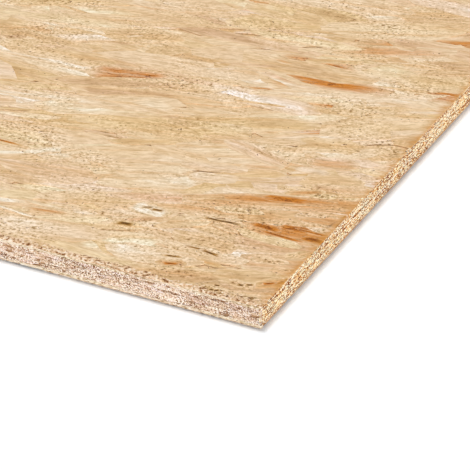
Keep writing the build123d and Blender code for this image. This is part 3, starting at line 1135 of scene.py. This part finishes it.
# %% [markdown]
# ## The mat inside
# One closed body fills the sheet behind the strands and stands for the frame's solid. It keeps a
# little behind them on every side. Where a gap opens on a face, the next layer of strands shows, so
# the mat's two faces get the strands' own finish, with plain values for what a strand would carry.

# %% Deeper mat
MAT_INSET = 1.1 * MM
EDGE_MAT_INSET = 0.8 * MM
LOWER_TINT = 0.3
LEVEL_FROM = 0.9
shape = bmesh.new()
bmesh.ops.create_cube(shape, size=1.0)
for vertex in shape.verts:
    vertex.co.x *= panel_length - 2 * EDGE_MAT_INSET
    vertex.co.y *= panel_width - 2 * EDGE_MAT_INSET
    vertex.co.z = vertex.co.z * (panel_thickness - 2 * MAT_INSET) + panel_thickness / 2
bmesh.ops.bevel(shape, geom=shape.edges[:], offset=ARRIS_BREAK, segments=1, affect="EDGES")
mat_mesh = bpy.data.meshes.new("pressed_mat")
shape.to_mesh(mat_mesh)
shape.free()
# The mat's top and bottom take the strands' finish, and its sides the painted shade of the voids.
for finish in (face_wood, void_painted_shade):
    mat_mesh.materials.append(finish)
for polygon in mat_mesh.polygons:
    polygon.material_index = 0 if abs(polygon.normal.z) > LEVEL_FROM else 1
mat_mesh.attributes.new("grain", "FLOAT_VECTOR", "POINT")
mat_mesh.attributes.new("tint", "FLOAT", "POINT")
for vertex in mat_mesh.vertices:
    mat_mesh.attributes["grain"].data[vertex.index].vector = vertex.co
    mat_mesh.attributes["tint"].data[vertex.index].value = LOWER_TINT
pressed_mat = finish_piece("pressed_mat", mat_mesh)
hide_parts("osb_panel")

# %% [markdown]
# ## The floor
# The sheet lies on a plain white floor. It is open under the sheet, where that can't be seen from
# above, and it is clear from below, so that the underside shows when the sheet is looked at from
# there. Seen directly, the floor is a little brighter than white, and cooler, so that it stays
# white beside a shadow that is warmed by the wood.

# %% White floor
FLOOR_HALF = 30.0
FLOOR_DROP = 1.0 * MM
OPENING_INSET = 15 * MM
SEEN_WHITE = (1.06, 1.1, 1.14, 1.0)


def seen_directly(tree):
    """One for a ray that shows the floor or the sky to the eye, also in a mirror or through glass."""
    path = add_node(tree, "ShaderNodeLightPath").outputs
    direct = path["Is Camera Ray"]
    for way in ("Is Glossy Ray", "Is Transmission Ray"):
        direct = add_node(tree, "ShaderNodeMath", [direct, path[way]], operation="MAXIMUM")
    return direct


floor_mesh = bpy.data.meshes.new("floor")
corner_signs = [(-1, -1), (1, -1), (1, 1), (-1, 1)]
floor_rims = [(FLOOR_HALF, FLOOR_HALF),
              (panel_length / 2 - OPENING_INSET, panel_width / 2 - OPENING_INSET)]
floor_mesh.from_pydata([(side * half_x, rise * half_y, -FLOOR_DROP)
                        for half_x, half_y in floor_rims for side, rise in corner_signs], [],
                       [(near, (near + 1) % 4, (near + 1) % 4 + 4, near + 4) for near in range(4)])
floor = bpy.data.objects.new("floor", floor_mesh)
bpy.context.scene.collection.objects.link(floor)
floor_white, tree = new_material("matt_white_floor")
path = add_node(tree, "ShaderNodeLightPath").outputs
floor_colour = add_node(tree, "ShaderNodeMix", {"Factor": seen_directly(tree), "A": linear("#fcfcfc"),
                                                "B": SEEN_WHITE}, data_type="RGBA")
white = add_node(tree, "ShaderNodeBsdfDiffuse", {"Color": floor_colour})
clear = add_node(tree, "ShaderNodeBsdfTransparent")
seen_from_below = add_node(tree, "ShaderNodeMath",
                           [add_node(tree, "ShaderNodeNewGeometry").outputs["Backfacing"],
                            path["Is Camera Ray"]], operation="MULTIPLY")
surface = add_node(tree, "ShaderNodeMixShader", [seen_from_below, white, clear])
add_node(tree, "ShaderNodeOutputMaterial", {"Surface": surface})
floor_mesh.materials.append(floor_white)
floor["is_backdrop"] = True
print("made", floor_white.name)

# %% [markdown]
# ## The light
# The light is soft and comes from overhead and a little to the left, with so much bounce from the
# floor that the edges are nearly as bright as the face. A lamp near the corner would fall off along
# the sheet, so wide suns and an even white world light every part alike. One sun is the light from
# overhead, one stands low in front and adds to the bounce, and one below lights the underside.

# %% Lamps and world
WORLD_LIGHT, WORLD_SEEN = 0.29, 1.0
Lamp = namedtuple("Lamp", "towards strength breadth_degrees")
lamps = {"soft_overhead_key": Lamp((-0.19, 0.11, 1.0), 1.73, 18),
         "low_front_fill": Lamp((0.75, -0.8, 0.23), 2.32, 40),
         "underside_fill": Lamp((0.0, 0.0, -1.0), 2.0, 90)}
for name, lamp in lamps.items():
    sun = bpy.data.lights.new(name, "SUN")
    sun.energy = lamp.strength
    sun.angle = math.radians(lamp.breadth_degrees)
    sun_object = bpy.data.objects.new(name, sun)
    bpy.context.scene.collection.objects.link(sun_object)
    sun_object.rotation_euler = Vector(lamp.towards).to_track_quat("Z", "Y").to_euler()

world = bpy.data.worlds.new("white_studio")
bpy.context.scene.world = world
world.use_nodes = True
world.node_tree.nodes.clear()
tree = world.node_tree
strength = add_node(tree, "ShaderNodeMapRange", {"Value": seen_directly(tree), "To Min": WORLD_LIGHT,
                                                 "To Max": WORLD_SEEN})
sky = add_node(tree, "ShaderNodeBackground", {"Color": linear("#ffffff"), "Strength": strength})
add_node(tree, "ShaderNodeOutputWorld", {"Surface": sky})
bpy.context.scene.view_settings.view_transform = "Standard"
print(len(lamps), "lamps and", world.name)

# %% [markdown]
# ## The sizes, side by side
# Looks may not change the sheet's size. The frame's box and the finished model's box are kept next
# to each other in one table, and the finished box is printed.

# %% Sizes and finish
seen_low, seen_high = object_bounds()
sizes = {"cad": [list(cad_low), list(cad_high)], "visual": [list(seen_low), list(seen_high)]}
print("visual box", [round(value / MM, 2) for value in seen_high - seen_low], "mm")
